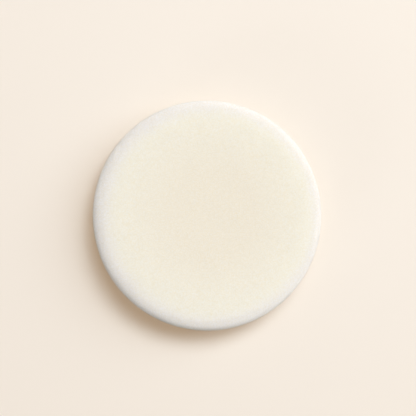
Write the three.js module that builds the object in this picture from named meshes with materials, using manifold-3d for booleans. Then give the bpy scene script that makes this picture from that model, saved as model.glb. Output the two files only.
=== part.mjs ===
// A round makeup puff: two velour covers sewn together at the rim round a foam core, with a satin ribbon
// across the back for the fingers. Both ribbon ends are caught in the rim seam.
// Millimetres, +Z up. The puff lies face up on its ribbon, and the origin is under its centre, on the ground.

import * as THREE from 'three';
import { mergeVertices } from 'three/addons/utils/BufferGeometryUtils.js';
import Module from 'manifold-3d';

const wasm = await Module();
wasm.setup();

// Overall size
const puffDiameter = 60;
const puffThickness = 10;

// Covers: velour with its pile, turned in at the seam
const faceVelour = 1.1;
const backVelour = 0.9;
const seamHeight = 4.4; // above the back cover's flat
const seamAllowance = 4;
const faceFoldReach = 1.8; // how far the face cover's widest line stands out past the seam
const faceFoldRise = 1.2; // and how far above the seam it lies
const backFoldReach = 0.8;
const backFoldDrop = 1.2;
const backFlatDiameter = 28; // the middle of the back, pressed flat

// Ribbon
const ribbonWidth = 15;
const ribbonThickness = 0.5;

// Clearances
const softGap = 0.3; // between pieces that lie against each other
const overrun = 1; // how far a cut runs past the edge that it opens

// How square a rolled edge is: 2 is an ellipse, and more keeps the middle flatter and turns the edge quicker
const faceSquareness = 6;
const backSquareness = 3;
const foldSquareness = 2;

// How upright a rolled edge ends: 2 is an ellipse, and more makes its last part steeper
const faceUprightness = 3;
const plainUprightness = 2;

// Facets
const turnSteps = 60;
const faceSteps = 9;
const backSteps = 6;
const innerSteps = 5;
const foldSteps = 3;
const weldReach = 0.001;

// Places worked out from the sizes: radii from the puff's axis, and heights above the ground
const faceRadius = puffDiameter / 2;
const mouthRadius = faceRadius - faceFoldReach;
const backRadius = mouthRadius + backFoldReach;
const rawEdgeRadius = mouthRadius - seamAllowance;
const backFlatRadius = backFlatDiameter / 2;
const backHeight = ribbonThickness + softGap;
const faceHeight = backHeight + puffThickness;
const seamPlane = backHeight + seamHeight;
const faceWidestHeight = seamPlane + faceFoldRise;
const backWidestHeight = seamPlane - backFoldDrop;

// A rolled edge in section, from where it leaves the flat to where it stands upright
function roll({ from, to, squareness, uprightness = plainUprightness, steps }) {
  return Array.from({ length: steps + 1 }, (_, step) => {
    const turn = (step / steps) * (Math.PI / 2);
    const reach = Math.sin(turn) ** (2 / squareness);
    const fall = step === steps ? 0 : Math.cos(turn) ** (2 / uprightness);
    return new THREE.Vector2(
      from.radius + (to.radius - from.radius) * reach,
      to.height + (from.height - to.height) * fall,
    );
  });
}

const point = (radius, height) => new THREE.Vector2(radius, height);

// A solid of revolution about Z. Its section runs out along the underside and back along the top.
function turned(section) {
  return new THREE.LatheGeometry(section, turnSteps).rotateX(Math.PI / 2);
}

function toSolid(geometry) {
  const bare = geometry.index ? geometry.toNonIndexed() : geometry.clone();
  bare.deleteAttribute('normal');
  bare.deleteAttribute('uv');
  const welded = mergeVertices(bare, weldReach);
  const corners = welded.index.array;
  const triangles = [];
  for (let i = 0; i < corners.length; i += 3) {
    const [a, b, c] = corners.slice(i, i + 3);
    if (a !== b && b !== c && c !== a) triangles.push(a, b, c);
  }
  return new wasm.Manifold(new wasm.Mesh({
    numProp: 3,
    vertProperties: welded.attributes.position.array,
    triVerts: new Uint32Array(triangles),
  }));
}

function toGeometry(solid) {
  const { vertProperties, triVerts } = solid.getMesh();
  const geometry = new THREE.BufferGeometry();
  geometry.setAttribute('position', new THREE.BufferAttribute(vertProperties, 3));
  geometry.setIndex(new THREE.BufferAttribute(triVerts, 1));
  geometry.computeVertexNormals();
  return geometry;
}

// A band of the given width that runs right across the puff along X
function acrossBand(width) {
  const length = puffDiameter + 2 * overrun;
  const height = faceHeight + 2 * overrun;
  return toSolid(new THREE.BoxGeometry(length, width, height).translate(0, 0, faceHeight / 2));
}

// The way through the seam for each end of the ribbon: half of it is pressed into each cover's pile
function ribbonMouths() {
  const bottom = seamPlane - ribbonThickness / 2 - softGap;
  const top = seamPlane + ribbonThickness / 2 + softGap;
  const ring = turned([
    point(rawEdgeRadius - overrun, bottom),
    point(faceRadius + overrun, bottom),
    point(faceRadius + overrun, top),
    point(rawEdgeRadius - overrun, top),
    point(rawEdgeRadius - overrun, bottom),
  ]);
  return toSolid(ring).intersect(acrossBand(ribbonWidth + 2 * softGap));
}

// Velour over the face: crowned, rolled round the rim to the seam, then turned in to its raw edge
function faceCover() {
  const inside = roll({
    from: { radius: 0, height: faceHeight - faceVelour },
    to: { radius: faceRadius - faceVelour, height: seamPlane + faceVelour },
    squareness: faceSquareness,
    uprightness: faceUprightness,
    steps: innerSteps,
  });
  const fold = roll({
    from: { radius: mouthRadius, height: seamPlane },
    to: { radius: faceRadius, height: faceWidestHeight },
    squareness: foldSquareness,
    steps: foldSteps,
  });
  const outside = roll({
    from: { radius: 0, height: faceHeight },
    to: { radius: faceRadius, height: faceWidestHeight },
    squareness: faceSquareness,
    uprightness: faceUprightness,
    steps: faceSteps,
  });
  const section = [
    ...inside,
    point(rawEdgeRadius, seamPlane + faceVelour),
    point(rawEdgeRadius, seamPlane),
    ...fold,
    ...outside.reverse().slice(1),
  ];
  return toGeometry(toSolid(turned(section)).subtract(ribbonMouths()));
}

// Velour over the back: flat in the middle, rolled up to the seam, then turned in under the face's allowance
function backCover() {
  const outside = roll({
    from: { radius: backFlatRadius, height: backHeight },
    to: { radius: backRadius, height: backWidestHeight },
    squareness: backSquareness,
    steps: backSteps,
  });
  const fold = roll({
    from: { radius: mouthRadius, height: seamPlane },
    to: { radius: backRadius, height: backWidestHeight },
    squareness: foldSquareness,
    steps: foldSteps,
  });
  const inside = roll({
    from: { radius: backFlatRadius, height: backHeight + backVelour },
    to: { radius: backRadius - backVelour, height: seamPlane - backVelour },
    squareness: backSquareness,
    steps: innerSteps,
  });
  const section = [
    point(0, backHeight),
    ...outside,
    ...fold.reverse().slice(1),
    point(rawEdgeRadius, seamPlane),
    point(rawEdgeRadius, seamPlane - backVelour),
    ...inside.reverse(),
    point(0, backHeight + backVelour),
  ];
  return toGeometry(toSolid(turned(section)).subtract(ribbonMouths()));
}

// Foam pad that fills the covers, with a groove round its edge where the two allowances press into it
function foamCore() {
  const bottom = backHeight + backVelour + softGap;
  const top = faceHeight - faceVelour - softGap;
  const grooveFloor = seamPlane - backVelour - softGap;
  const grooveRoof = seamPlane + faceVelour + softGap;
  const grooveRadius = rawEdgeRadius - softGap;
  const underside = roll({
    from: { radius: backFlatRadius, height: bottom },
    to: { radius: backRadius - backVelour - softGap, height: grooveFloor },
    squareness: backSquareness,
    steps: innerSteps,
  });
  const crown = roll({
    from: { radius: 0, height: top },
    to: { radius: faceRadius - faceVelour - softGap, height: grooveRoof },
    squareness: faceSquareness,
    uprightness: faceUprightness,
    steps: innerSteps,
  });
  return turned([
    point(0, bottom),
    ...underside,
    point(grooveRadius, grooveFloor),
    point(grooveRadius, grooveRoof),
    ...crown.reverse(),
  ]);
}

// Satin band that follows the back from one side of the seam to the other, its ends flush with the raw edges
function fingerRibbon() {
  const lower = seamPlane - ribbonThickness / 2;
  const upper = seamPlane + ribbonThickness / 2;
  const mouthFloor = lower - softGap;
  const foldLeft = (mouthFloor - backWidestHeight) / backFoldDrop; // share of the fold left under the mouth
  const bendRadius = mouthRadius + backFoldReach * Math.sqrt(1 - foldLeft ** 2);
  const innerRadius = backRadius + softGap;
  const outerRadius = innerRadius + ribbonThickness;
  const outerRoll = roll({
    from: { radius: backFlatRadius, height: 0 },
    to: { radius: outerRadius, height: backWidestHeight },
    squareness: backSquareness,
    steps: backSteps,
  });
  const innerRoll = roll({
    from: { radius: backFlatRadius, height: ribbonThickness },
    to: { radius: innerRadius, height: backWidestHeight },
    squareness: backSquareness,
    steps: backSteps,
  });
  const outerBend = roll({
    from: { radius: bendRadius, height: upper },
    to: { radius: outerRadius, height: backWidestHeight },
    squareness: foldSquareness,
    steps: foldSteps,
  });
  const innerBend = roll({
    from: { radius: bendRadius, height: lower },
    to: { radius: innerRadius, height: backWidestHeight },
    squareness: foldSquareness,
    steps: foldSteps,
  });
  const section = [
    point(0, 0),
    ...outerRoll,
    ...outerBend.reverse().slice(1),
    point(rawEdgeRadius, upper),
    point(rawEdgeRadius, lower),
    ...innerBend,
    ...innerRoll.reverse().slice(1),
    point(0, ribbonThickness),
  ];
  return toGeometry(toSolid(turned(section)).intersect(acrossBand(ribbonWidth)));
}

const creamVelour = new THREE.MeshStandardMaterial({ color: 0xf0e8d6, roughness: 0.95, metalness: 0 });
const whiteVelour = new THREE.MeshStandardMaterial({ color: 0xeae6de, roughness: 0.95, metalness: 0 });
const paleFoam = new THREE.MeshStandardMaterial({ color: 0xf3eedf, roughness: 1, metalness: 0 });
const ivorySatin = new THREE.MeshStandardMaterial({ color: 0xf2ece0, roughness: 0.4, metalness: 0 });

function piece(name, geometry, material) {
  const mesh = new THREE.Mesh(geometry, material);
  mesh.name = name;
  return mesh;
}

const puff = new THREE.Group();
puff.add(
  piece('face_cover', faceCover(), creamVelour),
  piece('back_cover', backCover(), whiteVelour),
  piece('foam_core', foamCore(), paleFoam),
  piece('finger_ribbon', fingerRibbon(), ivorySatin),
);

export default puff;
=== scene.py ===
import math
from collections import namedtuple

import bpy
import numpy as np
from mathutils import Matrix, Vector


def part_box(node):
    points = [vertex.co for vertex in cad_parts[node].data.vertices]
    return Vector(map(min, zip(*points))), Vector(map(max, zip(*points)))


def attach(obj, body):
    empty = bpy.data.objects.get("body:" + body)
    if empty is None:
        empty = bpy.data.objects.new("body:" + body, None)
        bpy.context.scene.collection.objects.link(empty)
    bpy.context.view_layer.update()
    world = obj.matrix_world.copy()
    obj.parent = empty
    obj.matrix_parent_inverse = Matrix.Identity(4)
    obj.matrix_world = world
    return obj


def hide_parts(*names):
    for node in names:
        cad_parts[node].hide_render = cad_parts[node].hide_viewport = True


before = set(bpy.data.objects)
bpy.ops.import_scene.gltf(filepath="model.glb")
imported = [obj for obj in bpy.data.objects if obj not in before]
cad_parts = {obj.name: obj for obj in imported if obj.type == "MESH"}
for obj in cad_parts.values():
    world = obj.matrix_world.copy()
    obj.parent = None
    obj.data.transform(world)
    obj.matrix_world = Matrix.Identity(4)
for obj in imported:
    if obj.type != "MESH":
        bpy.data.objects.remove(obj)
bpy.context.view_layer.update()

# All lengths are in metres, and all angles in radians unless a comment says degrees
MM = 0.001
FULL_TURN = 2 * math.pi

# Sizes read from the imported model
FACE_LOW, FACE_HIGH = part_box("face_cover")
BACK_LOW, BACK_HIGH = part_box("back_cover")
CORE_LOW, CORE_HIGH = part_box("foam_core")
RIBBON_LOW, RIBBON_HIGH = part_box("finger_ribbon")
FACE_RADIUS = FACE_HIGH[0]
FACE_TOP = FACE_HIGH[2]
SEAM_PLANE = FACE_LOW[2]
BACK_RADIUS = BACK_HIGH[0]
BACK_BOTTOM = BACK_LOW[2]
CORE_RADIUS = CORE_HIGH[0]
CORE_TOP = CORE_HIGH[2]
CORE_BOTTOM = CORE_LOW[2]
RIBBON_WIDTH = RIBBON_HIGH[1] - RIBBON_LOW[1]

# The section's own sizes, as the model has them
FACE_VELOUR = 1.1 * MM
BACK_VELOUR = 0.9 * MM
SEAM_ALLOWANCE = 4 * MM
FACE_FOLD_REACH = 1.8 * MM
FACE_FOLD_RISE = 1.2 * MM
BACK_FOLD_DROP = 1.2 * MM
BACK_FLAT_RADIUS = 14 * MM
SOFT_GAP = 0.3 * MM

# The squareness and the uprightness of each kind of rolled edge, also as the model has them. 2 and 2 make
# an ellipse. More squareness keeps the middle flatter, and more uprightness makes the last part steeper.
FACE_ROLL = (6, 3)
BACK_ROLL = (3, 2)
FOLD_ROLL = (2, 2)

MOUTH_RADIUS = FACE_RADIUS - FACE_FOLD_REACH
RAW_EDGE_RADIUS = MOUTH_RADIUS - SEAM_ALLOWANCE
FACE_WIDEST = SEAM_PLANE + FACE_FOLD_RISE
BACK_WIDEST = SEAM_PLANE - BACK_FOLD_DROP

# What the model leaves to this script
SEAM_SLIT = 0.06 * MM  # between the two allowances, where the thread pulls them together
RIBBON_THICKNESS = 0.36 * MM  # the room for it: its corded edges fill most of that, and its middle less
RIBBON_PRESS = 0.22 * MM  # how far each allowance gives way for a ribbon end
RIBBON_SLACK = 0.03 * MM  # between the ribbon and the roll that it is pulled over
BACK_SAG = 0.3 * MM  # how far the soft back settles on the ribbon


# Sections: each is an array of (radius, height) rows

CROWN_STEPS = 600
CROWN_INSIDE_STEPS = 200
BACK_STEPS = 200
BACK_INSIDE_STEPS = 100
FOLD_STEPS = 40
RIBBON_BEND_STEPS = 60


def rolled(start, end, shape, steps):
    """A rolled edge, from where it leaves the flat at start to where it stands upright at end."""
    squareness, uprightness = shape
    turn = np.linspace(0, math.pi / 2, steps + 1)
    radius = start[0] + (end[0] - start[0]) * np.sin(turn) ** (2 / squareness)
    height = end[1] + (start[1] - end[1]) * np.cos(turn).clip(0) ** (2 / uprightness)
    return np.column_stack([radius, height])


def lengths_along(line):
    """How far along the line each of its points is."""
    return np.concatenate([[0], np.cumsum(np.linalg.norm(np.diff(line, axis=0), axis=1))])


def spaced(line, step):
    """The same line with its points about step apart."""
    along = lengths_along(line)
    places = np.linspace(0, along[-1], max(2, round(along[-1] / step) + 1))
    return np.column_stack([np.interp(places, along, line[:, k]) for k in range(line.shape[1])])


def face_outside():
    """The face cover's outer line, from the crown over the rim to its raw edge."""
    seam = SEAM_PLANE + SEAM_SLIT / 2
    crown = rolled((0, FACE_TOP), (FACE_RADIUS, FACE_WIDEST), FACE_ROLL, CROWN_STEPS)
    fold = rolled((MOUTH_RADIUS, seam), (FACE_RADIUS, FACE_WIDEST), FOLD_ROLL, FOLD_STEPS)
    return np.vstack([crown, fold[::-1][1:], [[RAW_EDGE_RADIUS, seam]]])


def face_inside():
    """The face cover's inner line, from under the crown to the top of its allowance."""
    allowance = SEAM_PLANE + FACE_VELOUR
    middle = (0, FACE_TOP - FACE_VELOUR)
    crown = rolled(middle, (FACE_RADIUS - FACE_VELOUR, allowance), FACE_ROLL, CROWN_INSIDE_STEPS)
    return np.vstack([crown, [[RAW_EDGE_RADIUS, allowance]]])


def back_outside():
    """The back cover's outer line, from its middle round the lower roll to its raw edge."""
    bottom = BACK_BOTTOM - BACK_SAG
    seam = SEAM_PLANE - SEAM_SLIT / 2
    rise = rolled((BACK_FLAT_RADIUS, bottom), (BACK_RADIUS, BACK_WIDEST), BACK_ROLL, BACK_STEPS)
    fold = rolled((MOUTH_RADIUS, seam), (BACK_RADIUS, BACK_WIDEST), FOLD_ROLL, FOLD_STEPS)
    return np.vstack([[[0, bottom]], rise, fold[::-1][1:], [[RAW_EDGE_RADIUS, seam]]])


def back_inside():
    """The back cover's inner line, from its middle to the underside of its allowance."""
    bottom = BACK_BOTTOM - BACK_SAG + BACK_VELOUR
    allowance = SEAM_PLANE - BACK_VELOUR
    widest = (BACK_RADIUS - BACK_VELOUR, allowance)
    rise = rolled((BACK_FLAT_RADIUS, bottom), widest, BACK_ROLL, BACK_INSIDE_STEPS)
    return np.vstack([[[0, bottom]], rise, [[RAW_EDGE_RADIUS, allowance]]])


def core_outline():
    """The foam's line, from the middle of its underside round the edge groove to its crown."""
    groove_floor = SEAM_PLANE - BACK_VELOUR - SOFT_GAP
    groove_roof = SEAM_PLANE + FACE_VELOUR + SOFT_GAP
    groove_radius = RAW_EDGE_RADIUS - SOFT_GAP
    widest = (BACK_RADIUS - BACK_VELOUR - SOFT_GAP, groove_floor)
    under = rolled((BACK_FLAT_RADIUS, CORE_BOTTOM), widest, BACK_ROLL, BACK_INSIDE_STEPS)
    groove = [[groove_radius, groove_floor], [groove_radius, groove_roof]]
    crown = rolled((0, CORE_TOP), (CORE_RADIUS, groove_roof), FACE_ROLL, CROWN_INSIDE_STEPS)
    return np.vstack([[[0, CORE_BOTTOM]], under, groove, crown[::-1]])


# Noise: sums of plane waves with seeded directions, so that each run gives the same surface

WAVE_COUNT = 90
WAVE_LENGTHS = (0.6, 1.6)  # the shortest and the longest, as shares of the wavelength that is asked for


def unit(vectors):
    """The same vectors at length 1."""
    return vectors / np.linalg.norm(vectors, axis=1)[:, None]


def waves(points, wavelength, seed):
    """Smooth noise over the points, with mean 0 and spread about 1."""
    rng = np.random.default_rng(seed)
    directions = unit(rng.normal(size=(WAVE_COUNT, 3)))
    turns = FULL_TURN / (wavelength * rng.uniform(*WAVE_LENGTHS, WAVE_COUNT))
    phases = rng.uniform(0, FULL_TURN, WAVE_COUNT)
    total = np.zeros(len(points))
    for direction, turn, phase in zip(directions, turns, phases):
        total += np.sin(points @ direction * turn + phase)
    return total / math.sqrt(WAVE_COUNT / 2)


def eased(value, low, high):
    """0 below low, 1 above high and a smooth rise between them."""
    share = np.clip((value - low) / (high - low), 0, 1)
    return share * share * (3 - 2 * share)


# Meshes

def add_mesh(name, vertices, faces, smooth=True):
    """A new piece in the scene, at the origin."""
    mesh = bpy.data.meshes.new(name)
    mesh.from_pydata(vertices.tolist(), [], faces)
    mesh.validate()
    if smooth:
        mesh.shade_smooth()
    piece = bpy.data.objects.new(name, mesh)
    bpy.context.scene.collection.objects.link(piece)
    return piece


def dress(piece, material, node_name=None):
    """Gives a piece its material and slot, hangs it on the root body, and hides the CAD node that it stands
    for, if any.
    """
    piece.data.materials.append(material)
    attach(piece, "root")
    if node_name:
        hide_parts(node_name)


def ring_points(section, turns):
    """Points of the turned section, by row and then by angle."""
    angle = np.linspace(0, FULL_TURN, turns, endpoint=False)
    return np.stack([
        section[:, :1] * np.cos(angle),
        section[:, :1] * np.sin(angle),
        np.repeat(section[:, 1:], turns, axis=1),
    ], axis=-1)


def closed_faces(rows, turns):
    """Faces of a turned shell: quads between its rows, and a fan at each end to a pole point."""
    low = np.arange(rows - 1)[:, None] * turns
    high = low + turns
    here = np.arange(turns)
    after = (here + 1) % turns
    quads = np.stack([low + here, low + after, high + after, high + here], axis=-1)
    first, last, top = rows * turns, rows * turns + 1, (rows - 1) * turns
    fans = np.vstack([
        np.column_stack([np.full(turns, first), after, here]),
        np.column_stack([np.full(turns, last), top + here, top + after]),
    ])
    return quads.reshape(-1, 4).tolist() + fans.tolist()


def turned_shell(section, turns):
    """Vertices and faces of a closed turned shell whose section starts and ends on the axis."""
    rings = ring_points(section[1:-1], turns)
    poles = [[0, 0, section[0, 1]], [0, 0, section[-1, 1]]]
    return np.vstack([rings.reshape(-1, 3), poles]), closed_faces(len(rings), turns)


def grid_normals(points):
    """Normals of a grid that closes on itself along its second axis: up, where its rows run outwards."""
    down = np.gradient(points, axis=0)
    round_it = np.roll(points, -1, axis=1) - np.roll(points, 1, axis=1)
    normals = np.cross(down, round_it)
    return normals / np.maximum(np.linalg.norm(normals, axis=2), 1e-12)[..., None]


def tube(path, radius, sides, closed):
    """Vertices and faces of a round tube along the path's points."""
    ahead = np.roll(path, -1, axis=0) - np.roll(path, 1, axis=0)
    if not closed:
        ahead[0], ahead[-1] = path[1] - path[0], path[-1] - path[-2]
    ahead = unit(ahead)
    # no thread here runs straight away from the puff's axis, so that direction can turn its section
    one = unit(np.cross(ahead, unit(path * [1, 1, 0])))
    two = np.cross(ahead, one)
    angle = np.linspace(0, FULL_TURN, sides, endpoint=False)[:, None]
    circle = np.cos(angle) * one[:, None] + np.sin(angle) * two[:, None]
    rings = path[:, None] + radius * circle
    count = len(path)
    faces = []
    for row in range(count if closed else count - 1):
        low, high = row * sides, (row + 1) % count * sides
        for here in range(sides):
            after = (here + 1) % sides
            faces.append((low + here, low + after, high + after, high + here))
    if not closed:
        faces += [tuple(range(sides))[::-1], tuple((count - 1) * sides + here for here in range(sides))]
    return rings.reshape(-1, 3), faces


# Material tools

NOISE_REACH = (0.3, 0.7)  # nearly all values of a noise texture lie between these


def new_material(name):
    """A new material, with its node tree and its shader."""
    material = bpy.data.materials.new(name)
    material.use_nodes = True
    return material, material.node_tree, material.node_tree.nodes["Principled BSDF"]


def set_values(shader, values):
    """Sets the sockets that are the same all over the surface, by name."""
    for socket, value in values.items():
        shader.inputs[socket].default_value = value


def srgb(red, green, blue):
    """A colour given in 0 to 255 screen values, in linear light."""
    def linear(value):
        value /= 255
        return value / 12.92 if value <= 0.04045 else ((value + 0.055) / 1.055) ** 2.4
    return (linear(red), linear(green), linear(blue), 1)


def node(tree, kind, inputs=None, **settings):
    """A new node, with its settings, and its inputs by name: a socket is linked and a value is set."""
    made = tree.nodes.new(kind)
    for key, value in settings.items():
        setattr(made, key, value)
    for key, value in (inputs or {}).items():
        if isinstance(value, bpy.types.NodeSocket):
            tree.links.new(value, made.inputs[key])
        else:
            made.inputs[key].default_value = value
    return made


def object_place(tree):
    """The place on the object, in metres."""
    return node(tree, "ShaderNodeTexCoord").outputs["Object"]


def noise(tree, place, scale, detail, roughness=0.5):
    """A noise texture's value."""
    return node(tree, "ShaderNodeTexNoise", {
        "Vector": place, "Scale": scale, "Detail": detail, "Roughness": roughness,
    }).outputs["Fac"]


def spread(tree, value, source, target, kind="LINEAR"):
    """The value, with the range source mapped to the range target and nothing beyond it."""
    return node(tree, "ShaderNodeMapRange", {
        "Value": value,
        "From Min": source[0],
        "From Max": source[1],
        "To Min": target[0],
        "To Max": target[1],
    }, interpolation_type=kind).outputs["Result"]


def varied(tree, noise_value, target):
    """A noise texture's value, mapped to the range target."""
    return spread(tree, noise_value, NOISE_REACH, target)


def mixed(tree, kind, factor, one, two):
    """Two colours mixed by kind."""
    return node(tree, "ShaderNodeMix", {
        "Factor": factor, "A": one, "B": two,
    }, data_type="RGBA", blend_type=kind).outputs["Result"]


def maths(tree, operation, one, two):
    """One operation on two numbers."""
    return node(tree, "ShaderNodeMath", {0: one, 1: two}, operation=operation).outputs[0]


def vector_maths(tree, operation, *values):
    """The outputs of one operation on vectors."""
    return node(tree, "ShaderNodeVectorMath", dict(enumerate(values)), operation=operation).outputs


def bumped(tree, shader, height, strength, distance):
    """Gives the shader a bump."""
    bump = node(tree, "ShaderNodeBump", {"Strength": strength, "Distance": distance, "Height": height})
    tree.links.new(bump.outputs["Normal"], shader.inputs["Normal"])


def axis_distance(tree, place):
    """How far the place is from the object's upright axis."""
    flat = vector_maths(tree, "MULTIPLY", place, (1, 1, 0))["Vector"]
    return vector_maths(tree, "LENGTH", flat)["Value"]


# Velour

CREAM = srgb(237.3, 231.2, 217.4)
PALE_CREAM = srgb(239.5, 236, 224)
# the back cover's own white; on the face cover's rim the same white is painted sheen, the pile's grazing
# sheen painted in as colour
BACK_WHITE_AND_RIM_SHEEN = srgb(237.6, 234, 228.4)
CREAM_MIDDLE = (0.6 * MM, 0.15 * MM, 0)  # the cream lies a little off the puff's middle
# between these distances from the axis the face's cream gives way to the rim's painted sheen
CREAM_ENDS = 0.8 * FACE_RADIUS
RIM_SHEEN_WHOLE = 0.98 * FACE_RADIUS
PALING = (0.45 * CREAM_ENDS, 1.15 * CREAM_ENDS)  # distances between which the cream turns pale
DRIFT = 0.45 * MM  # how far the places of these colours stray
FLECK_DARK = (0.982, 0.957, 0.9, 1)  # this and the next are shares of the ground colour
FLECK_LIGHT = (1.015, 1.038, 1.1, 1)
TUFT_SHADES = (0.985, 1.012)
STREAK_SHADES = (0.965, 1.02)
STREAK_SQUEEZE = 0.3  # along the pile, so that its noise is drawn out that way
# where the painted shade of the upright rim begins, as a distance from the axis
UPRIGHT_RIM_SHADE_STARTS = 0.955 * FACE_RADIUS
UPRIGHT_RIM_PAINTED_SHADE = 0.95  # painted shade: the share of its colour that the upright rim keeps, darkened there to stand in for its shade
TIP_RELIEF = 0.6  # this and the next are shares of the pile's own relief
TUFT_RELIEF = 0.3


def streaks(tree, place, distance):
    """Noise drawn out from the axis and down the rim, the way that the pile lies there."""
    parts = node(tree, "ShaderNodeSeparateXYZ", {0: place}).outputs
    around = maths(tree, "MULTIPLY", maths(tree, "ARCTAN2", parts["Y"], parts["X"]), FACE_RADIUS)
    along = maths(tree, "MULTIPLY", maths(tree, "SUBTRACT", distance, parts["Z"]), STREAK_SQUEEZE)
    unrolled = node(tree, "ShaderNodeCombineXYZ", {"X": around, "Y": along}).outputs[0]
    return noise(tree, unrolled, scale=3400, detail=2)


def velour_material(name, middle, paler, edge):
    """Velour with a fine uneven pile: middle's colour turns to paler's, and at the rim to edge's, where a
    whiter edge colour is painted sheen.
    """
    material, tree, shader = new_material(name)
    place = object_place(tree)
    from_axis = axis_distance(tree, place)
    pile = noise(tree, place, scale=2600, detail=4, roughness=0.6)
    tips = noise(tree, place, scale=7500, detail=2)
    tufts = noise(tree, place, scale=1100, detail=2)
    lie = streaks(tree, place, from_axis)

    drift = varied(tree, noise(tree, place, scale=260, detail=3), (-DRIFT, DRIFT))
    from_cream = vector_maths(tree, "SUBTRACT", place, CREAM_MIDDLE)["Vector"]
    distance = maths(tree, "ADD", axis_distance(tree, from_cream), drift)
    pale = spread(tree, distance, PALING, (0, 1))
    # painted sheen: towards the rim the ground turns whiter, standing in for the pile's grazing sheen
    rim = spread(tree, distance, (CREAM_ENDS, RIM_SHEEN_WHOLE), (0, 1), "SMOOTHERSTEP")
    ground = mixed(tree, "MIX", rim, mixed(tree, "MIX", pale, middle, paler), edge)

    fleck = mixed(tree, "MIX", varied(tree, pile, (0, 1)), FLECK_DARK, FLECK_LIGHT)
    flecked = mixed(tree, "MULTIPLY", 1, ground, fleck)
    frosted = mixed(tree, "MULTIPLY", rim, flecked, varied(tree, lie, STREAK_SHADES))
    # painted shade: the colour darkens over the upright rim, out to the edge
    upright_rim_shade = spread(tree, from_axis, (UPRIGHT_RIM_SHADE_STARTS, FACE_RADIUS), (1, UPRIGHT_RIM_PAINTED_SHADE))
    shade = maths(tree, "MULTIPLY", varied(tree, tufts, TUFT_SHADES), upright_rim_shade)
    tree.links.new(mixed(tree, "MULTIPLY", 1, frosted, shade), shader.inputs["Base Color"])

    relief = maths(tree, "ADD", pile, maths(tree, "MULTIPLY", tips, TIP_RELIEF))
    relief = maths(tree, "ADD", relief, maths(tree, "MULTIPLY", lie, rim))
    relief = maths(tree, "ADD", relief, maths(tree, "MULTIPLY", tufts, TUFT_RELIEF))
    bumped(tree, shader, relief, strength=0.3, distance=0.1 * MM)
    set_values(shader, {
        "Roughness": 0.95,
        "Diffuse Roughness": 1,
        "Specular IOR Level": 0.12,
        "Sheen Weight": 0.3,
        "Sheen Roughness": 0.4,
        "Sheen Tint": srgb(255, 252, 248),
    })
    return material


# Satin, foam and thread

WEAVE = "weave"  # the ribbon's coordinates: millimetres along it and across it
CORDED = (6.7, 7.1)  # millimetres from the ribbon's middle between which its corded edge begins
WARP_SHADES = (0.95, 1.01)
WARP_ROUGHNESS = (0.34, 0.46)
CAUGHT_SHADE = 0.35  # how strongly the caught threads show
CORD_RELIEF = 2  # as a share of the warp's relief
FINE_PORES = (2400, (0.1, 0.45))  # their scale, and the distances between which a pore turns to its wall
WIDE_PORES = (900, (0.05, 0.3))
# painted shade in the pores: how dark a pore's middle is painted, up to how light its wall is
PORE_PAINTED_SHADES = (0.75, 1.02)
THREAD_SHADES = (0.88, 1.04)


def grey(level):
    """An even grey."""
    return (level, level, level, 1)


def satin_material(name, colour):
    """Warp-faced satin: fine threads along the ribbon, caught down in a stagger, and a corded edge."""
    material, tree, shader = new_material(name)
    woven = node(tree, "ShaderNodeUVMap", uv_map=WEAVE).outputs["UV"]
    warp = node(tree, "ShaderNodeTexWave", {
        "Vector": woven, "Scale": 1.6, "Distortion": 0.5, "Detail": 2, "Detail Scale": 3,
    }, bands_direction="Y").outputs["Fac"]
    floats = node(tree, "ShaderNodeTexBrick", {
        "Vector": woven, "Color1": grey(0.9), "Color2": grey(1), "Mortar": grey(0.72), "Scale": 1,
        "Mortar Size": 0.02, "Mortar Smooth": 1, "Brick Width": 0.9, "Row Height": 0.2,
    }, offset=0.4)
    across = node(tree, "ShaderNodeSeparateXYZ", {0: woven}).outputs["Y"]
    edge = spread(tree, maths(tree, "ABSOLUTE", across, 0), CORDED, (0, 1))
    threads = spread(tree, warp, (0, 1), WARP_SHADES)
    caught = mixed(tree, "MULTIPLY", CAUGHT_SHADE, colour, floats.outputs["Color"])
    lit = mixed(tree, "MIX", edge, mixed(tree, "MULTIPLY", 1, caught, threads), colour)
    tree.links.new(lit, shader.inputs["Base Color"])
    relief = maths(tree, "ADD", warp, maths(tree, "MULTIPLY", edge, CORD_RELIEF))
    bumped(tree, shader, relief, strength=0.3, distance=0.03 * MM)
    tree.links.new(spread(tree, warp, (0, 1), WARP_ROUGHNESS), shader.inputs["Roughness"])
    set_values(shader, {"Anisotropic": 0.6, "Sheen Weight": 0.15})
    return material


def foam_material(name, colour):
    """Open-cell foam: small round pores in two sizes, with painted shade darkening each towards its middle.
    """
    material, tree, shader = new_material(name)
    place = object_place(tree)

    def pores(scale, walls):
        cells = node(tree, "ShaderNodeTexVoronoi", {"Vector": place, "Scale": scale})
        return spread(tree, cells.outputs["Distance"], walls, PORE_PAINTED_SHADES)

    # painted shade: each pore is darker towards its middle
    depth = maths(tree, "MULTIPLY", pores(*FINE_PORES), pores(*WIDE_PORES))
    tree.links.new(mixed(tree, "MULTIPLY", 1, colour, depth), shader.inputs["Base Color"])
    bumped(tree, shader, depth, strength=0.6, distance=0.15 * MM)
    set_values(shader, {"Roughness": 0.95, "Diffuse Roughness": 1})
    return material


def thread_material(name, colour):
    """Spun thread: small light and dark flecks along the twist."""
    material, tree, shader = new_material(name)
    spun = noise(tree, object_place(tree), scale=6000, detail=3)
    flecked = mixed(tree, "MULTIPLY", 1, colour, varied(tree, spun, THREAD_SHADES))
    tree.links.new(flecked, shader.inputs["Base Color"])
    bumped(tree, shader, spun, strength=0.4, distance=0.03 * MM)
    set_values(shader, {"Roughness": 0.6, "Sheen Weight": 0.3})
    return material


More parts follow.
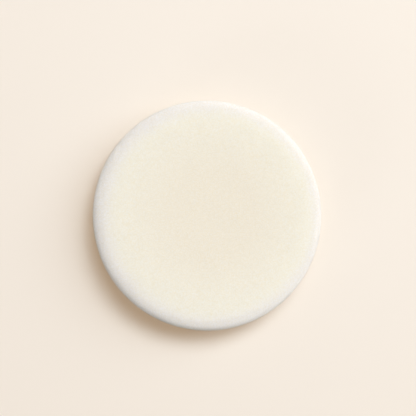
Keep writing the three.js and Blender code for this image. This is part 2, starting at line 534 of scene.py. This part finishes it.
FACE_MATERIAL = velour_material("plush_face", CREAM, PALE_CREAM, BACK_WHITE_AND_RIM_SHEEN)
BACK_MATERIAL = velour_material("plush_back", BACK_WHITE_AND_RIM_SHEEN, BACK_WHITE_AND_RIM_SHEEN, BACK_WHITE_AND_RIM_SHEEN)
RIBBON_MATERIAL = satin_material("satin_weave", srgb(244, 239, 230))
FOAM_MATERIAL = foam_material("open_foam", srgb(245, 238, 220))
THREAD_MATERIAL = thread_material("spun_thread", srgb(246, 242, 232))


# Covers: closed shells with an uneven pile outside and a plain side within

COVER_TURNS = 440
OUTER_STEP = 0.42 * MM
INNER_STEP = 1.2 * MM
ALLOWANCE_REACH = 0.5 * MM  # inside the mouth, the points this close to the seam plane are on the allowance

# Gathers along the seam
GATHERS = 56
GATHER_PULL = 0.2 * MM
GATHER_HEIGHT = 0.8 * MM
GATHER_STRAY = (2.2, 1.3)  # radians of a gather, in waves that go 3 and 7 times round the rim
GATHER_DEPTH = (0.6, 0.4)  # the middle depth, and how far it varies in a wave that goes round 5 times

# The way that the folds give to the ribbon ends
PRESS_FADES = (1.2 * MM, 2.6 * MM)  # heights from the seam between which it fades
PRESS_MARGIN = 0.9 * MM  # how far beside the ribbon it ends

# Waves in the pile
PILE_WAVE = 9 * MM
PILE_WAVE_HEIGHT = 0.03 * MM
PILE_RIPPLE = 1.6 * MM
PILE_RIPPLE_HEIGHT = 0.005 * MM
RIM_CALM = 0.75  # the share of them that the rim lacks
CALM_SETS_IN = (0.8 * FACE_RADIUS, 0.96 * FACE_RADIUS)  # distances from the axis between which they weaken

# A cover's outer side as a grid: its points, their normals and where pile grows
Skin = namedtuple("Skin", "points normals grows")


def seam_shape(points, side):
    """Gathers the folds along the seam, and presses them back from the ribbon ends."""
    x, y, z = points[..., 0], points[..., 1], points[..., 2]
    radius = np.hypot(x, y)
    angle = np.arctan2(y, x)
    near_seam = 1 - eased(np.abs(z - SEAM_PLANE), *PRESS_FADES)
    by_ribbon = 1 - eased(np.abs(y), RIBBON_WIDTH / 2, RIBBON_WIDTH / 2 + PRESS_MARGIN)
    lift = side * RIBBON_PRESS * near_seam * by_ribbon * (radius > BACK_FLAT_RADIUS)
    # the gathers are unevenly spaced and unevenly deep, and not the same on the two covers
    stray = GATHER_STRAY[0] * np.sin(3 * angle + side) + GATHER_STRAY[1] * np.sin(7 * angle + 0.6)
    depth = GATHER_DEPTH[0] + GATHER_DEPTH[1] * np.sin(5 * angle + 2 * side)
    gather = np.cos(GATHERS * angle + stray) * depth
    beside_seam = np.exp(-((z - SEAM_PLANE) / GATHER_HEIGHT) ** 2)
    on_fold = beside_seam * eased(radius, MOUTH_RADIUS - MM, MOUTH_RADIUS)
    pull = GATHER_PULL * gather * on_fold
    outwards = 1 + pull / np.maximum(radius, MM)
    return np.stack([x * outwards, y * outwards, z + lift], axis=-1)


def cover(name, node_name, outside, inside, side, material, seed):
    """One cover and its skin. side is 1 for the face, which lies above the seam, and -1 for the back."""
    outer = seam_shape(ring_points(spaced(outside, OUTER_STEP)[1:], COVER_TURNS), side)
    inner = seam_shape(ring_points(spaced(inside, INNER_STEP)[::-1][:-1], COVER_TURNS), side)
    normals = side * grid_normals(outer)
    radius = np.hypot(outer[..., 0], outer[..., 1])
    on_allowance = (np.abs(outer[..., 2] - SEAM_PLANE) < ALLOWANCE_REACH) & (radius < MOUTH_RADIUS)
    flat = outer.reshape(-1, 3)
    slow = PILE_WAVE_HEIGHT * waves(flat, PILE_WAVE, seed)
    quick = PILE_RIPPLE_HEIGHT * waves(flat, PILE_RIPPLE, seed + 1)
    steady = 1 - RIM_CALM * eased(radius, *CALM_SETS_IN)
    lift = np.where(on_allowance, 0, steady * (slow + quick).reshape(radius.shape))
    outer = outer + normals * lift[..., None]
    poles = [[0, 0, outside[0, 1]], [0, 0, inside[0, 1]]]
    faces = closed_faces(len(outer) + len(inner), COVER_TURNS)
    if side > 0:
        faces = [corners[::-1] for corners in faces]
    piece = add_mesh(name, np.vstack([outer.reshape(-1, 3), inner.reshape(-1, 3), poles]), faces)
    dress(piece, material, node_name)
    return piece, Skin(outer, normals, ~on_allowance)


# Nap: loose fibre ends that stand out of the pile

NAP_COUNT = 46000
NAP_SEED = 5
FACE_NAP_REACH = 0.22 * MM
EDGE_NAP_REACH = 0.28 * MM
RIM_NAP_STARTS = 0.9 * FACE_RADIUS
NAP_ROOT = 0.06 * MM  # how deep each fibre starts in the velour
NAP_LENGTHS = (0.5, 1)  # shares of the reach
NAP_LEANS = (0.2, 0.9)  # how far the tip goes sideways for each step up
NAP_HALF_WIDTHS = (0.015, 0.026)  # millimetres
SLIVER_FACES = ((0, 1, 3), (1, 2, 3), (2, 0, 3), (0, 2, 1))  # three corners at the root, and the tip


def nap(name, skin, where, reach, material, seed):
    """Fibre ends on the chosen part of a skin, each a closed sliver with its root in the velour."""
    rng = np.random.default_rng(seed)
    beside = np.roll(skin.points, -1, axis=1)
    corners = [skin.points[:-1], skin.points[1:], beside[1:], beside[:-1]]
    area = np.linalg.norm(np.cross(corners[2] - corners[0], corners[3] - corners[1]), axis=2) / 2
    grows = skin.grows & where
    weight = area * (grows[:-1] & grows[1:])
    chosen = rng.choice(weight.size, NAP_COUNT, p=(weight / weight.sum()).ravel())
    row, column = np.unravel_index(chosen, weight.shape)
    down, along = rng.random(NAP_COUNT)[:, None], rng.random(NAP_COUNT)[:, None]
    one, two, three, four = (corner[row, column] for corner in corners)
    root = (one * (1 - down) + two * down) * (1 - along) + (four * (1 - down) + three * down) * along
    up = skin.normals[row, column]
    sideways = unit(np.cross(up, rng.normal(size=(NAP_COUNT, 3))))
    across = np.cross(up, sideways)
    length = rng.uniform(*NAP_LENGTHS, (NAP_COUNT, 1)) * reach
    lean = rng.uniform(*NAP_LEANS, (NAP_COUNT, 1))
    half = rng.uniform(*NAP_HALF_WIDTHS, (NAP_COUNT, 1)) * MM
    foot = root - NAP_ROOT * up
    base = [foot + half * (math.cos(turn) * sideways + math.sin(turn) * across)
            for turn in (0, FULL_TURN / 3, 2 * FULL_TURN / 3)]
    tip = root + length * (up + lean * sideways) / np.sqrt(1 + lean ** 2)
    vertices = np.stack([*base, tip], axis=1).reshape(-1, 3)
    start = np.arange(NAP_COUNT)[:, None, None] * (len(base) + 1)
    faces = (start + np.array(SLIVER_FACES)).reshape(-1, 3)
    piece = add_mesh(name, vertices, faces.tolist())
    dress(piece, material)
    return piece


face, face_skin = cover("velour_face_cover", "face_cover", face_outside(), face_inside(), 1,
                        FACE_MATERIAL, seed=11)
back, back_skin = cover("velour_back_cover", "back_cover", back_outside(), back_inside(), -1,
                        BACK_MATERIAL, seed=23)

on_rim = np.hypot(face_skin.points[..., 0], face_skin.points[..., 1]) > RIM_NAP_STARTS
beside_ribbon = np.abs(back_skin.points[..., 1]) > RIBBON_WIDTH / 2
face_nap = nap("face_nap", face_skin, ~on_rim, FACE_NAP_REACH, FACE_MATERIAL, NAP_SEED)
rim_nap = nap("rim_nap", face_skin, on_rim, EDGE_NAP_REACH, FACE_MATERIAL, NAP_SEED + 1)
back_nap = nap("back_nap", back_skin, beside_ribbon, EDGE_NAP_REACH, BACK_MATERIAL,
               NAP_SEED + 2)


# Foam core

FOAM_TURNS = 160
FOAM_STEP = 0.8 * MM
FOAM_SEED = 41
DENT_WIDTH = 2.5 * MM
DENT_DEPTH = 0.05 * MM  # for each step of the noise under DENT_TOP, and for DENT_STEPS of them at most
DENT_TOP = 2.5
DENT_STEPS = 4


def foam_core():
    """The pad, with a slightly dented surface."""
    line = spaced(core_outline(), FOAM_STEP)
    line[0, 0] = line[-1, 0] = 0
    vertices, faces = turned_shell(line, FOAM_TURNS)
    outwards = unit(vertices - [0, 0, SEAM_PLANE])
    dents = DENT_DEPTH * (waves(vertices, DENT_WIDTH, FOAM_SEED) - DENT_TOP).clip(-DENT_STEPS, 0)
    piece = add_mesh("cushion_foam", vertices + outwards * dents[:, None], faces)
    dress(piece, FOAM_MATERIAL, "foam_core")


foam_core()


# Ribbon: a woven band swept along its own line, from one raw end to the other

RIBBON_STEP = 0.4 * MM
RIBBON_POINTS = 41  # across one side of the band
CORD_RISE = 0.25  # how much thicker the corded edges are, as a share of the middle's thickness
CORD_WIDTH = 0.05  # this and the next are shares of half the band's width
EDGE_ROUND = 0.02
EDGE_LEFT = 0.1  # the share of the roundness that the outermost points keep
RIPPLE_HEIGHT = 0.03 * MM
RIPPLE_ALONG = 3.1 * MM
RIPPLE_ACROSS = 2.3 * MM
RIPPLE_STARTS = (0.3 * MM, MM)  # heights between which the ripple sets in above the ground


def ribbon_line():
    """Half of the ribbon's centre line, from the middle of the back to its raw end in the seam."""
    half = RIBBON_THICKNESS / 2
    reach = BACK_RADIUS + RIBBON_SLACK + half
    rise = rolled((BACK_FLAT_RADIUS, half), (reach, BACK_WIDEST), BACK_ROLL, BACK_STEPS)
    bend = rolled((MOUTH_RADIUS + half, SEAM_PLANE), (reach, BACK_WIDEST), FOLD_ROLL, RIBBON_BEND_STEPS)
    line = np.vstack([[[0, half]], rise, bend[::-1][1:], [[RAW_EDGE_RADIUS, SEAM_PLANE]]])
    return spaced(line, RIBBON_STEP)


def ribbon():
    """The band, with corded edges and a slight ripple, and its weave coordinates."""
    line = ribbon_line()
    along = lengths_along(line)
    ahead = unit(np.gradient(line, axis=0))
    upwards = np.column_stack([-ahead[:, 1], ahead[:, 0]])
    # both halves of the ribbon: the first runs back from the raw end at the left
    sign = np.concatenate([-np.ones(len(line)), np.ones(len(line) - 1)])
    centre = np.vstack([line[::-1], line[1:]])
    normal = np.vstack([upwards[::-1], upwards[1:]])
    travel = sign * np.concatenate([along[::-1], along[1:]])
    # the band's own section, once round
    across = np.linspace(-1, 1, RIBBON_POINTS)
    from_edge = 1 - np.abs(across)
    cord = 1 + CORD_RISE * np.exp(-(from_edge / CORD_WIDTH) ** 2)
    rounded = np.sqrt(np.clip(from_edge / EDGE_ROUND, EDGE_LEFT, 1))
    thickness = RIBBON_THICKNESS / 2 * cord * rounded / (1 + CORD_RISE)
    place = np.concatenate([across, across[::-1]]) * RIBBON_WIDTH / 2
    offset = np.concatenate([-thickness, thickness[::-1]])
    ripple = RIPPLE_HEIGHT * np.sin(travel[:, None] / RIPPLE_ALONG + place / RIPPLE_ACROSS)
    under_widest = eased(BACK_WIDEST - centre[:, 1], 0, MM)
    over_ground = eased(centre[:, 1], *RIPPLE_STARTS)
    ripple *= under_widest[:, None] * over_ground[:, None]
    radius = centre[:, :1] + normal[:, :1] * (offset + ripple)
    height = centre[:, 1:] + normal[:, 1:] * (offset + ripple)
    # the band follows the rim's round, and lies straight across the middle
    rounding = np.maximum(radius, BACK_FLAT_RADIUS)
    shortening = rounding - np.sqrt(rounding ** 2 - place ** 2)
    x = sign[:, None] * (radius - shortening * np.clip(radius / BACK_FLAT_RADIUS, 0, 1))
    y = np.broadcast_to(place, x.shape)
    rings = np.stack([x, y, height], axis=-1)
    count, sides = x.shape
    faces = []
    for row in range(count - 1):
        low, high = row * sides, (row + 1) * sides
        for here in range(sides):
            after = (here + 1) % sides
            faces.append((low + here, high + here, high + after, low + after))
    faces += [tuple(range(sides)), tuple((count - 1) * sides + here for here in range(sides))[::-1]]
    piece = add_mesh("satin_finger_ribbon", rings.reshape(-1, 3), faces)
    weave = piece.data.uv_layers.new(name=WEAVE)
    corner_vertex = np.empty(len(piece.data.loops), dtype=np.int32)
    piece.data.loops.foreach_get("vertex_index", corner_vertex)
    woven = np.stack([np.broadcast_to(travel[:, None], x.shape), y], axis=-1).reshape(-1, 2) / MM
    weave.data.foreach_set("uv", woven[corner_vertex].astype(np.float32).ravel())
    dress(piece, RIBBON_MATERIAL, "finger_ribbon")


ribbon()


# Threads: two plies twisted round each other

PLY_RADIUS = 0.055 * MM
PLY_SIDES = 6
PLY_TWIST = 0.55 * MM  # length of one whole turn


def around_axis(radius, angle, height):
    """Points given by their distance from the puff's axis, their angle round it and their height."""
    return np.column_stack([radius * np.cos(angle), radius * np.sin(angle), height])


def thread(name, path, closed):
    """A two-ply thread along the path."""
    along = lengths_along(path)
    twist = FULL_TURN * along / PLY_TWIST
    if closed:
        whole = along[-1] + np.linalg.norm(path[0] - path[-1])
        twist = FULL_TURN * along / whole * round(whole / PLY_TWIST)
    outwards = unit(path * [1, 1, 0])
    vertices, faces = [], []
    for start in (0, math.pi):
        out, up = np.cos(twist + start)[:, None], np.sin(twist + start)[:, None]
        ply_path = path + PLY_RADIUS * (out * outwards + up * [0, 0, 1])
        points, ply_faces = tube(ply_path, PLY_RADIUS, PLY_SIDES, closed)
        before = sum(len(ply) for ply in vertices)
        vertices.append(points)
        faces += [tuple(corner + before for corner in corners) for corners in ply_faces]
    piece = add_mesh(name, np.vstack(vertices), faces)
    dress(piece, THREAD_MATERIAL)


# Machine stitches
STITCH_LENGTH = 2.4 * MM
STITCH_STEPS = 24
STITCH_INSET = 0.3 * MM  # from the mouth
STITCH_CLEARANCE = 0.15 * MM  # over and under the allowances
STITCH_PLUNGE = 2.4  # how quickly the thread goes down and up

# Hand stitches that close the seam
OPENING = 30 * MM
RUNGS = 12
RUNG_STEPS = 16
RUNG_OFFSET = 0.55 * MM  # outside the mouth
RUNG_HEIGHT = 0.42 * MM
RUNG_SINK = 0.15 * MM
RUNG_PLUNGE = 1.5


def seam_thread():
    """Machine stitches round the rim: over the face's allowance, down through both and up again."""
    radius = MOUTH_RADIUS - STITCH_INSET
    stitches = round(FULL_TURN * radius / STITCH_LENGTH)
    turn = np.linspace(0, 1, stitches * STITCH_STEPS, endpoint=False)
    swing = np.clip(STITCH_PLUNGE * np.sin(stitches * FULL_TURN * turn), -1, 1)
    upper = SEAM_PLANE + FACE_VELOUR + STITCH_CLEARANCE
    lower = SEAM_PLANE - BACK_VELOUR - STITCH_CLEARANCE
    height = (upper + lower) / 2 + (upper - lower) / 2 * swing
    thread("rim_seam_thread", around_axis(radius, FULL_TURN * turn, height), True)


def closing_stitches():
    """Hand ladder stitches across the seam, where the cover was closed after the foam went in."""
    radius = MOUTH_RADIUS + RUNG_OFFSET
    share = np.linspace(0, 1, RUNGS * RUNG_STEPS)
    first = math.pi / 2 - OPENING / radius / 2
    angle = first + OPENING / radius * share
    swing = np.clip(RUNG_PLUNGE * np.sin(RUNGS * math.pi * share), -1, 1)
    height = SEAM_PLANE + RUNG_HEIGHT * swing
    depth = radius - RUNG_SINK * (1 - swing ** 2)
    thread("closing_stitches", around_axis(depth, angle, height), False)


seam_thread()
closing_stitches()


# Stage

# The lit floor is the diffuse colour and the glow together. Its shadow keeps the glow, which makes it
# warm. The light that it throws back has the colour of the two together.
FLOOR_DIFFUSE = (0.643, 0.668, 0.662, 1)
FLOOR_GLOW = (0.20, 0.088, 0.0, 1)
FLOOR_BOUNCE = (0.86, 0.79, 0.703, 1)
FLOOR_SIZE = 1.4
FLOOR_FADES = (0.12, 0.45)  # distances from the puff between which the floor turns to the room's colour
GLOW_FADES = (0.6 * FACE_RADIUS, 0.96 * FACE_RADIUS)  # distances between which the glow grows to its whole; the weaker glow inside them is painted shade under the puff
GLOW_IN_PAINTED_SHADE = 0.3  # painted shade: the share of the glow that stays under the puff, which keeps the floor darker there
ROOM_SEEN = srgb(246, 236, 223)
ROOM_LIGHT = 0.26


def floor():
    """A plain sheet of paper under the puff, which turns to the room's colour far away."""
    corner = FLOOR_SIZE / 2
    piece = add_mesh("floor", np.array([
        [-corner, -corner, 0], [corner, -corner, 0], [corner, corner, 0], [-corner, corner, 0],
    ]), [(0, 1, 2, 3)], smooth=False)
    material, tree, shader = new_material("floor_paper")
    rays = node(tree, "ShaderNodeLightPath").outputs
    mirrored = maths(tree, "MAXIMUM", rays["Is Glossy Ray"], rays["Is Transmission Ray"])
    seen = maths(tree, "MAXIMUM", rays["Is Camera Ray"], mirrored)
    distance = axis_distance(tree, object_place(tree))
    # painted shade under the puff: the floor's glow is weaker there
    glow = spread(tree, distance, GLOW_FADES, (GLOW_IN_PAINTED_SHADE, 1))
    tree.links.new(maths(tree, "MULTIPLY", seen, glow), shader.inputs["Emission Strength"])
    tree.links.new(mixed(tree, "MIX", seen, FLOOR_BOUNCE, FLOOR_DIFFUSE), shader.inputs["Base Color"])
    set_values(shader, {"Emission Color": FLOOR_GLOW, "Roughness": 0.9, "Specular IOR Level": 0})
    away = spread(tree, distance, FLOOR_FADES, (0, 1), "SMOOTHERSTEP")
    room_colour = node(tree, "ShaderNodeEmission", {"Color": ROOM_SEEN}).outputs[0]
    faded = node(tree, "ShaderNodeMixShader", {
        0: maths(tree, "MULTIPLY", rays["Is Camera Ray"], away), 1: shader.outputs[0], 2: room_colour,
    })
    tree.links.new(faded.outputs[0], tree.nodes["Material Output"].inputs["Surface"])
    piece.data.materials.append(material)


floor()


# Light: three soft boxes at the back right, and a weak one low at the front left

LAMP_DISTANCE = 1.1
# azimuth and elevation in degrees, diameter in metres and power in watts
LAMPS = {
    "main_box": (57, 55, 0.48, 3.66),
    "top_box": (74, 63, 0.6, 4.7),
    "side_box": (25, 36, 0.92, 6.3),
    "low_box": (228, 7, 0.55, 3.8),
}


def soft_box(name, azimuth, elevation, diameter, power):
    """A round lamp that looks at the puff from the azimuth and elevation given in degrees."""
    turn, rise = math.radians(azimuth), math.radians(elevation)
    towards = Vector((math.cos(rise) * math.cos(turn), math.cos(rise) * math.sin(turn), math.sin(rise)))
    lamp = bpy.data.lights.new(name, "AREA")
    lamp.shape = "DISK"
    lamp.size = diameter
    lamp.energy = power
    made = bpy.data.objects.new(name, lamp)
    made.location = towards * LAMP_DISTANCE
    made.rotation_mode = "QUATERNION"
    made.rotation_quaternion = towards.to_track_quat("Z", "Y")
    made.visible_camera = False
    bpy.context.scene.collection.objects.link(made)


def room():
    """A pale room: it shows in the floor's colour and lights the puff with a weaker white."""
    world = bpy.data.worlds.new("soft_room")
    world.use_nodes = True
    tree = world.node_tree
    background = tree.nodes["Background"]
    seen = node(tree, "ShaderNodeLightPath").outputs["Is Camera Ray"]
    tree.links.new(mixed(tree, "MIX", seen, (1, 1, 1, 1), ROOM_SEEN), background.inputs["Color"])
    tree.links.new(spread(tree, seen, (0, 1), (ROOM_LIGHT, 1)), background.inputs["Strength"])
    bpy.context.scene.world = world


for lamp_name, lamp_values in LAMPS.items():
    soft_box(lamp_name, *lamp_values)
room()


# Camera: nearly straight above, and a little to the left, so that the left rim shows more

PHOTO_SIDE = 416
PUFF_PIXELS = 228.9
PUFF_MIDDLE_PIXELS = (208.3, 215.5)
PIXEL = 2 * FACE_RADIUS / PUFF_PIXELS
LEAN = math.radians(7)
LEAN_HEADING = math.radians(5)
LENS = 85  # millimetres, as is the sensor
SENSOR = 36


def photo_camera():
    """The camera of the photograph's view."""
    aim = Vector((
        (PHOTO_SIDE / 2 - PUFF_MIDDLE_PIXELS[0]) * PIXEL,
        (PUFF_MIDDLE_PIXELS[1] - PHOTO_SIDE / 2) * PIXEL,
        FACE_WIDEST,
    ))
    reach = PHOTO_SIDE * PIXEL * LENS / SENSOR
    towards = Vector((
        -math.sin(LEAN) * math.cos(LEAN_HEADING),
        -math.sin(LEAN) * math.sin(LEAN_HEADING),
        math.cos(LEAN),
    ))
    right = Vector((0, 1, 0)).cross(towards).normalized()
    axes = Matrix((right, towards.cross(right), towards)).transposed()
    data = bpy.data.cameras.new("camera")
    data.lens = LENS
    data.sensor_width = SENSOR
    made = bpy.data.objects.new("camera", data)
    made.location = aim + towards * reach
    made.rotation_mode = "QUATERNION"
    made.rotation_quaternion = axes.to_quaternion()
    bpy.context.scene.collection.objects.link(made)
    bpy.context.scene.camera = made


photo_camera()
bpy.context.scene.view_settings.view_transform = "Standard"
